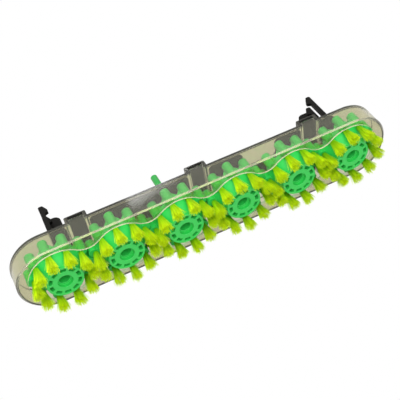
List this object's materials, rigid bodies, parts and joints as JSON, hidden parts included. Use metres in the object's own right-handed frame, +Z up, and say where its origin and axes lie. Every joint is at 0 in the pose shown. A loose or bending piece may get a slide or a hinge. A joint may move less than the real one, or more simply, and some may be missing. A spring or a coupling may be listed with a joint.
{
  "type": "carpet cleaner brush block",
  "caption": "Row of gear-coupled spinning brushes with lobed rims and flared tufts in a clear scalloped housing, with hooked latches and a drive shaft.",
  "frame": {"origin": "on the bristle tips' plane, on the row's centre line, midway between the two middle brushes", "axes": "+X along the row of brushes, +Z up to the machine, -Y towards the front wall"},
  "size_m": [0.3084, 0.0572, 0.0729],
  "materials": {
    "clear_plastic": "clear moulded plastic with a grey-beige tint",
    "green_plastic": "bright green moulding, satin",
    "bristle": "lime nylon filaments",
    "black_plastic": "black moulding, fine satin",
    "white_nylon": "natural nylon",
    "spring_steel": "stamped spring steel"
  },
  "bodies": {
    "housing": {"guard_shell": "clear_plastic", "cover_plate": "clear_plastic", "crossbar_left": "black_plastic", "crossbar_middle": "black_plastic", "crossbar_right": "black_plastic", "bearing_plate_left": "black_plastic", "bearing_plate_right": "black_plastic", "latch_left": "black_plastic", "latch_right": "black_plastic", "thrust_washers": "white_nylon"},
    "brush_unit_1": {"brush_1": "green_plastic", "tufts_1": "bristle", "stem_clip_1": "spring_steel"},
    "brush_unit_2": {"brush_2": "green_plastic", "tufts_2": "bristle", "stem_clip_2": "spring_steel"},
    "brush_unit_3": {"brush_3": "green_plastic", "tufts_3": "bristle", "stem_clip_3": "spring_steel"},
    "brush_unit_4": {"brush_4": "green_plastic", "tufts_4": "bristle", "stem_clip_4": "spring_steel"},
    "brush_unit_5": {"brush_5": "green_plastic", "tufts_5": "bristle", "stem_clip_5": "spring_steel"},
    "brush_unit_6": {"brush_6": "green_plastic", "tufts_6": "bristle", "stem_clip_6": "spring_steel"}
  },
  "joints": [
    {"name": "brush_1_spin", "type": "hinge", "parent": "housing", "child": "brush_unit_1", "pos_m": [-0.12, 0, 0.0285], "axis": [0, 0, 1], "continuous": true},
    {"name": "brush_2_spin", "type": "hinge", "parent": "housing", "child": "brush_unit_2", "pos_m": [-0.072, 0, 0.0285], "axis": [0, 0, 1], "continuous": true},
    {"name": "brush_3_spin", "type": "hinge", "parent": "housing", "child": "brush_unit_3", "pos_m": [-0.024, 0, 0.0285], "axis": [0, 0, 1], "continuous": true},
    {"name": "brush_4_spin", "type": "hinge", "parent": "housing", "child": "brush_unit_4", "pos_m": [0.024, 0, 0.0285], "axis": [0, 0, 1], "continuous": true},
    {"name": "brush_5_spin", "type": "hinge", "parent": "housing", "child": "brush_unit_5", "pos_m": [0.072, 0, 0.0285], "axis": [0, 0, 1], "continuous": true},
    {"name": "brush_6_spin", "type": "hinge", "parent": "housing", "child": "brush_unit_6", "pos_m": [0.12, 0, 0.0285], "axis": [0, 0, 1], "continuous": true}
  ],
  "couplings": [
    {"joint": "brush_1_spin", "follows": "brush_3_spin", "ratio": 1},
    {"joint": "brush_2_spin", "follows": "brush_3_spin", "ratio": -1},
    {"joint": "brush_4_spin", "follows": "brush_3_spin", "ratio": -1},
    {"joint": "brush_5_spin", "follows": "brush_3_spin", "ratio": 1},
    {"joint": "brush_6_spin", "follows": "brush_3_spin", "ratio": -1}
  ]
}
